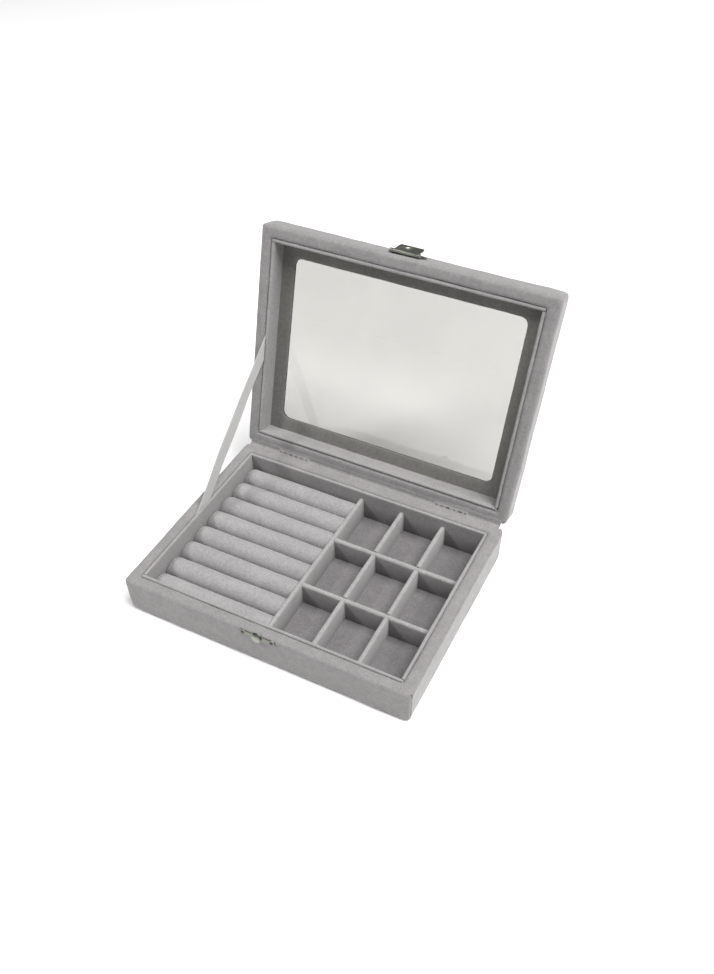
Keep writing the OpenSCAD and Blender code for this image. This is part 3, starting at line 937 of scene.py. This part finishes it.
def makeWindowFrame(shape):
    low, high = shutBox("glass_retainer_frame")
    board = startBlock("windowFrame", low, high)
    cutAway(board, windowCutter(low.z - clear, high.z + clear, windowShape))
    windowSides = windowHalf(windowShape)
    edit(board)
    roundEdges(
        board,
        lambda edge: onLoop(edge, low.z, *windowSides),
        shape["edgeRadius"],
        shape["edgeSegments"],
    )
    slices(board, xAxis, low.x, high.x, shape["step"])
    slices(board, yAxis, low.y, high.y, shape["step"])
    done()
    ripple(board, shape, seeds["windowFrame"])
    openUp(board)
    smoothShade(board, shape["softAngle"])
    dress(board, "liner_velvet", "frame_velvet")
    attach(board, "lid")
    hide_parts("glass_retainer_frame")


makeFloorCard(floorShape)
makeWindowFrame(frameShape)
print("floor card and window frame made")


# ring rolls: velvet tubes blown up like foam

rollShape = {
    "count": 8,
    "around": 40,
    "step": 2.6 * millimetre,
    "slack": 0.5 * millimetre,  # the tube starts this much smaller than the roll
    "overEnds": 0.15 * millimetre,
    "endRound": 0.8 * millimetre,
    "endSegments": 4,
    "endInset": 1.6 * millimetre,
    "sliceFrom": 0.5 * millimetre,
    "broad": 0.3 * millimetre,
    "broadSize": 22 * millimetre,
    "fine": 0.16 * millimetre,
    "fineSize": 5 * millimetre,
    "softening": (0.5, 4),  # strength and rounds
    "softAngle": 60,
    "endFall": 0.76,  # the left ends are flattened where they are glued down
    "endPinch": 0.98,
    "fallLength": 5 * millimetre,
    "pressure": 5.0,
    "frames": 20,
    "cloth": 20.0,  # cloth is worked at this many times life size
    "quality": 6,
    "mass": 0.3,
    "stretching": 12,
    "shearing": 6,
    "bending": 0.6,
    "growth": 0.004,
    "heldBelow": 0.8 * millimetre,
    "heldEnds": 0.5 * millimetre,
    "cap": 0.75 * millimetre,
    "sideSpare": 0.03 * millimetre,
    "endSpare": 0.2 * millimetre,
    "fill": 0.9,
}


def swell(piece, held, shape):
    scale = shape["cloth"]
    mesh = piece.data
    before = [vertex.co.copy() for vertex in mesh.vertices]
    middle = sum(before, Vector()) / len(before)
    for vertex, place in zip(mesh.vertices, before):
        vertex.co = (place - middle) * scale
    group = piece.vertex_groups.new(name="held")
    group.add([i for i, place in enumerate(before) if held(place)], 1.0, "REPLACE")
    makeActive(piece)
    cloth = piece.modifiers.new("cloth", "CLOTH")
    settings = cloth.settings
    settings.quality = shape["quality"]
    settings.mass = shape["mass"]
    settings.tension_stiffness = settings.compression_stiffness = shape["stretching"]
    settings.shear_stiffness = shape["shearing"]
    settings.bending_stiffness = shape["bending"]
    settings.vertex_group_mass = "held"
    settings.use_pressure = True
    settings.uniform_pressure_force = shape["pressure"]
    settings.shrink_min = -shape["growth"]
    settings.effector_weights.gravity = 0
    cloth.point_cache.frame_start = 1
    cloth.point_cache.frame_end = shape["frames"]
    for step in range(1, shape["frames"] + 1):
        bpy.context.scene.frame_set(step)
    bpy.ops.object.modifier_apply(modifier=cloth.name)
    piece.vertex_groups.clear()
    for vertex, place in zip(mesh.vertices, before):
        move = vertex.co / scale + middle - place
        if move.length > shape["cap"]:
            move *= shape["cap"] / move.length
        vertex.co = place + move
    bpy.context.scene.frame_set(1)


def makeRoll(number, shape):
    node = "ring_roll_" + str(number)
    low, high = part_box(node)
    radius = (high.y - low.y) / 2
    middle = (low.y + high.y) / 2
    clearSelection()
    bpy.ops.mesh.primitive_cylinder_add(
        vertices=shape["around"],
        radius=radius - shape["slack"],
        depth=high.x - low.x + 2 * shape["overEnds"],
        location=((low.x + high.x) / 2, middle, high.z - radius),
        rotation=(0, math.pi / 2, 0),
    )
    roll = bpy.context.object
    roll.name = "ringRoll" + str(number)
    settle(roll)

    def onEnd(edge):
        return abs(edge.verts[0].co.x - edge.verts[1].co.x) < tiny

    def isHeld(place):
        toEnd = min(abs(place.x - low.x), abs(place.x - high.x))
        return place.z < low.z + shape["heldBelow"] or toEnd < shape["heldEnds"]

    edit(roll)
    roundEdges(roll, onEnd, shape["endRound"], shape["endSegments"])
    pick(roll, "FACE", lambda face: len(face.verts) == shape["around"])
    bpy.ops.mesh.inset(thickness=shape["endInset"])
    bpy.ops.mesh.inset(thickness=shape["endInset"])
    inset = shape["endRound"] + shape["sliceFrom"]
    slices(roll, xAxis, low.x + inset, high.x - inset, shape["step"])
    done()
    ripple(roll, shape, seeds["ringRoll"] + number)
    swell(roll, isHeld, shape)
    strength, rounds = shape["softening"]
    applyModifier(roll, "SMOOTH", factor=strength, iterations=rounds)
    applyModifier(roll, "SUBSURF", levels=1, render_levels=1)
    half = radius + shape["sideSpare"]
    for vertex in roll.data.vertices:
        free = min(max((vertex.co.x - low.x) / shape["fallLength"], 0), 1)
        free = free * (2 - free)
        fall = shape["endFall"] + (1 - shape["endFall"]) * free
        pinch = shape["endPinch"] + (1 - shape["endPinch"]) * free
        vertex.co.z = low.z + (vertex.co.z - low.z) * fall
        vertex.co.y = middle + (vertex.co.y - middle) * pinch
        vertex.co.z = max(vertex.co.z, low.z)
        vertex.co.y = min(max(vertex.co.y, middle - half), middle + half)
        spare = shape["endSpare"]
        vertex.co.x = min(max(vertex.co.x, low.x - spare), high.x + spare)
    smoothShade(roll, shape["softAngle"])
    dress(roll, "roll_velvet")
    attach(roll, "base")
    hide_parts(node)


for rollNumber in range(1, rollShape["count"] + 1):
    makeRoll(rollNumber, rollShape)
print("ring rolls made")


# the velvet strip across the rear seam

seamShape = {
    "columns": 320,
    "rows": 20,
    "crowding": 0.4,  # draws the rows towards the crease
    "softAngle": 60,
    "reach": 3.4 * millimetre,  # how far it runs out on each rim
    "level": 0.4,  # share of the reach before it starts to sink
    "rise": 0.12 * millimetre,
    "sink": 0.30 * millimetre,
    "creaseRadius": 1.4 * millimetre,
    "thickness": 0.3 * millimetre,
    "bulge": 1.15 * millimetre,  # over the knuckles
    "bulgeReach": 1.5 * millimetre,
    "knuckles": 5,
    "scallop": 0.28,
    "pastPin": 0.1,  # share of a pin's length over which the bulge dies away past its ends
    "pucker": 0.13 * millimetre,
    "puckerSize": 3.2 * millimetre,
    "puckerStretch": 0.5,
    "slitLow": -0.25 * millimetre,
    "slitHigh": 0.20 * millimetre,
    "slitFrom": 0.18,  # shares of a knuckle
    "slitTo": 0.72,
    "pinEnd": 0.02,
    "sway": 0.25 * millimetre,
    "swayRate": 4000,
    "bendReach": 0.6 * millimetre,
}


def makeHingeVelvet(shape):
    pins = [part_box(side + "_hinge_pin") for side in ("left", "right")]
    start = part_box("hinge_strip_left")[0].x
    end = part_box("hinge_strip_right")[1].x
    turn = openTurn.to_3x3()
    baseWay, baseUp = -yAxis, zAxis
    lidWay, lidUp = turn @ -yAxis, turn @ -zAxis
    half = (baseUp + lidUp).normalized()
    opening = baseUp.angle(lidUp)
    offset = baseHigh.z - hingePlace.z + shape["rise"]
    corner = half * offset / half.dot(baseUp)
    radius = shape["creaseRadius"]
    centre = corner + half * radius / math.cos(opening / 2)
    tangent, arc = radius * math.tan(opening / 2), radius * opening / 2
    clearSelection()
    bpy.ops.mesh.primitive_grid_add(
        x_subdivisions=shape["columns"], y_subdivisions=shape["rows"], size=1
    )
    strip = bpy.context.object
    strip.name = "hingeVelvet"
    knuckles, level = shape["knuckles"], shape["level"] * shape["reach"]
    for vertex in strip.data.vertices:
        x = start + (end - start) * (vertex.co.x + 0.5)
        share = vertex.co.y * 2
        # how far out it is from the crease, below 0 on the base's rim
        outBy = share * abs(share) ** shape["crowding"] * (shape["reach"] + arc)
        if abs(outBy) <= arc:
            out = Matrix.Rotation(opening * (outBy + arc) / (2 * arc), 3, "X") @ baseUp
            place = centre - out * radius
            normal = out
        else:
            way, normal = (baseWay, baseUp) if outBy < 0 else (lidWay, lidUp)
            beyond = abs(outBy) - arc
            place = corner + way * (tangent + beyond)
            sink = max(0, (beyond - level) / (shape["reach"] - level))
            place -= normal * (shape["rise"] + shape["sink"]) * sink * sink
        near = 0
        for low, high in pins:
            within = (x - low.x) / (high.x - low.x)
            spare = shape["pastPin"]
            if -spare < within < 1 + spare:
                edge = min(1, (within + spare) / spare, (1 + spare - within) / spare)
                wave = 1 - shape["scallop"] * abs(math.cos(math.pi * knuckles * within))
                near = edge * edge * (3 - 2 * edge) * wave
        spread = math.exp(-((outBy / shape["bulgeReach"]) ** 2))
        place += half * shape["bulge"] * near * spread
        spot = Vector((x, outBy * shape["puckerStretch"], seeds["hingeVelvet"]))
        pucker = noise.noise(spot / shape["puckerSize"])
        place += normal * shape["pucker"] * pucker * math.exp(-((outBy / shape["reach"]) ** 2))
        vertex.co = hingePlace + place + xAxis * x

    def inSlit(face):
        middle = face.calc_center_median()
        arm = middle - hingePlace
        outBy = arm.dot(lidWay) - arm.dot(baseWay)
        for low, high in pins:
            within = (middle.x - low.x) / (high.x - low.x)
            if shape["pinEnd"] < within < 1 - shape["pinEnd"]:
                phase = within * knuckles % 1
                swayed = outBy + shape["sway"] * math.sin(middle.x * shape["swayRate"])
                between = shape["slitLow"] < swayed < shape["slitHigh"]
                return between and shape["slitFrom"] < phase < shape["slitTo"]
        return False

    edit(strip)
    pick(strip, "FACE", inSlit)
    bpy.ops.mesh.delete(type="FACE")
    bpy.ops.mesh.select_all(action="SELECT")
    bpy.ops.mesh.normals_make_consistent(inside=False)
    done()
    facing = sum((polygon.normal for polygon in strip.data.polygons), Vector())
    if facing.dot(half) < 0:
        strip.data.flip_normals()
    applyModifier(strip, "SOLIDIFY", thickness=shape["thickness"], offset=-1)
    smoothShade(strip, shape["softAngle"])
    dress(strip, "outer_velvet")
    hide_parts("hinge_strip_left", "hinge_strip_middle", "hinge_strip_right")
    reach = shape["bendReach"]
    start, end = hingePlace + baseWay * reach, hingePlace + lidWay * reach
    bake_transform(strip)


makeHingeVelvet(seamShape)
print("hinge velvet made")


# stay ribbon

ribbonShape = {
    "width": 10 * millimetre,
    "thickness": 0.35 * millimetre,
    "basePlace": 1 * millimetre,  # its glued end in the base's groove, from the box's middle
    "lidPlace": 74.5 * millimetre,  # how far up the lid it is glued
    "tuck": 4 * millimetre,
    "columns": 8,
    "rows": 60,
    "softAngle": 60,
    "pulledIn": 0.8,  # its ends run past where it is glued, in half widths
    "free": (0.08, 0.5, 0.92),  # shares of its length
    "bow": 1.5 * millimetre,
    "twist": math.radians(-3),
    "twisted": (0.1, 0.3, 0.85),
    "wave": 0.25 * millimetre,
    "waveRate": 14,
    "waveStart": 0.6,
    "curlRate": 9,
    "weaveRepeats": 9,
}


def hump(value, low, peak, high):
    if value <= low or value >= high:
        return 0.0
    share = (value - low) / (peak - low) if value < peak else (high - value) / (high - peak)
    return share * share * (3 - 2 * share)


def makeRibbon(shape):
    low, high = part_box("stay_ribbon")
    planeX = (low.x + high.x) / 2
    start = Vector((planeX, shape["basePlace"], baseHigh.z - shape["tuck"]))
    end = openTurn @ Vector((planeX, baseHigh.y - shape["lidPlace"], lidLow.z + shape["tuck"]))
    along = (end - start).normalized()
    out = Vector((0, -along.z, along.y))
    reach = shape["width"] / 2 * shape["pulledIn"]
    start, end = start - along * reach, end + along * reach
    freeLow, freePeak, freeHigh = shape["free"]
    clearSelection()
    bpy.ops.mesh.primitive_grid_add(
        x_subdivisions=shape["columns"], y_subdivisions=shape["rows"], size=1
    )
    ribbon = bpy.context.object
    ribbon.name = "stayRibbon"
    uvRow = {}
    for vertex in ribbon.data.vertices:
        across, rise = vertex.co.x, vertex.co.y + 0.5
        turn = shape["twist"] * hump(rise, *shape["twisted"])
        free = hump(rise, freeLow, freePeak, freeHigh)
        side = out * math.cos(turn) + xAxis * math.sin(turn)
        place = start.lerp(end, rise) + side * across * shape["width"]
        freeShare = min(max((rise - freeLow) / (freeHigh - freeLow), 0), 1)
        place += out * shape["bow"] * math.sin(math.pi * freeShare)
        wave = math.sin(rise * shape["waveRate"] + shape["waveStart"])
        curl = across * math.sin(rise * shape["curlRate"])
        place.x += shape["wave"] * free * (wave + curl)
        uvRow[vertex.index] = (across + 0.5, rise * shape["weaveRepeats"])
        vertex.co = place
    mesh = ribbon.data
    uv = mesh.uv_layers.active or mesh.uv_layers.new(name="UVMap")
    for loop in mesh.loops:
        uv.data[loop.index].uv = uvRow[loop.vertex_index]
    applyModifier(ribbon, "SOLIDIFY", thickness=shape["thickness"], offset=0)
    smoothShade(ribbon, shape["softAngle"])
    dress(ribbon, "ribbon_fabric")
    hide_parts("stay_ribbon")
    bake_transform(ribbon)


makeRibbon(ribbonShape)
print("ribbon made")


# studio

studio = {
    "floorSize": 12.0,
    "floorColour": (0.93, 0.93, 0.93),
    "floorCloud": {"scale": 3, "detail": 2},
    "floorShade": (0.99, 1.0),
    "floorRoughness": 0.9,
    "floorSpecular": 0.1,
    "worldStrength": 0.22,
    "aim": (0, 0, 0.03),
}

softboxes = {
    "right": {"place": (1.05, 0.06, 2.1), "size": (1.5, 1.5), "power": 86.0},
    "left": {"place": (-1.15, -0.75, 1.5), "size": (0.45, 0.45), "power": 19.0},
}


def makeFloor(values):
    clearSelection()
    bpy.ops.mesh.primitive_plane_add(size=values["floorSize"], location=(0, 0, 0))
    floor = bpy.context.object
    floor.name = "studioFloor"
    material, nodes, links, shader = nodeTree("paleFloor")
    place = nodes.new("ShaderNodeTexCoord").outputs["Object"]
    cloud = addNoise(nodes, links, place, **values["floorCloud"])
    shade = addRange(nodes, links, cloud, *values["floorShade"])
    tint = addTint(nodes, links, values["floorColour"], shade)
    links.new(tint, shader.inputs["Base Color"])
    shader.inputs["Roughness"].default_value = values["floorRoughness"]
    shader.inputs["Specular IOR Level"].default_value = values["floorSpecular"]
    floor.data.materials.append(material)


def makeLight(name, target, place, size, power):
    data = bpy.data.lights.new(name, "AREA")
    data.shape = "RECTANGLE"
    data.size, data.size_y = size
    data.energy = power
    light = bpy.data.objects.new(name, data)
    bpy.context.scene.collection.objects.link(light)
    direction = Vector(target) - Vector(place)
    turn = direction.to_track_quat("-Z", "Y").to_matrix().to_4x4()
    light.matrix_world = Matrix.Translation(place) @ turn


def makeWorld(strength):
    world = bpy.data.worlds.new("studioWorld")
    bpy.context.scene.world = world
    world.use_nodes = True
    background = world.node_tree.nodes["Background"]
    background.inputs["Color"].default_value = (1, 1, 1, 1)
    background.inputs["Strength"].default_value = strength


makeFloor(studio)
makeWorld(studio["worldStrength"])
for side, values in softboxes.items():
    makeLight(side + "Softbox", studio["aim"], **values)
bpy.context.scene.view_settings.view_transform = "Standard"
print("studio lit")
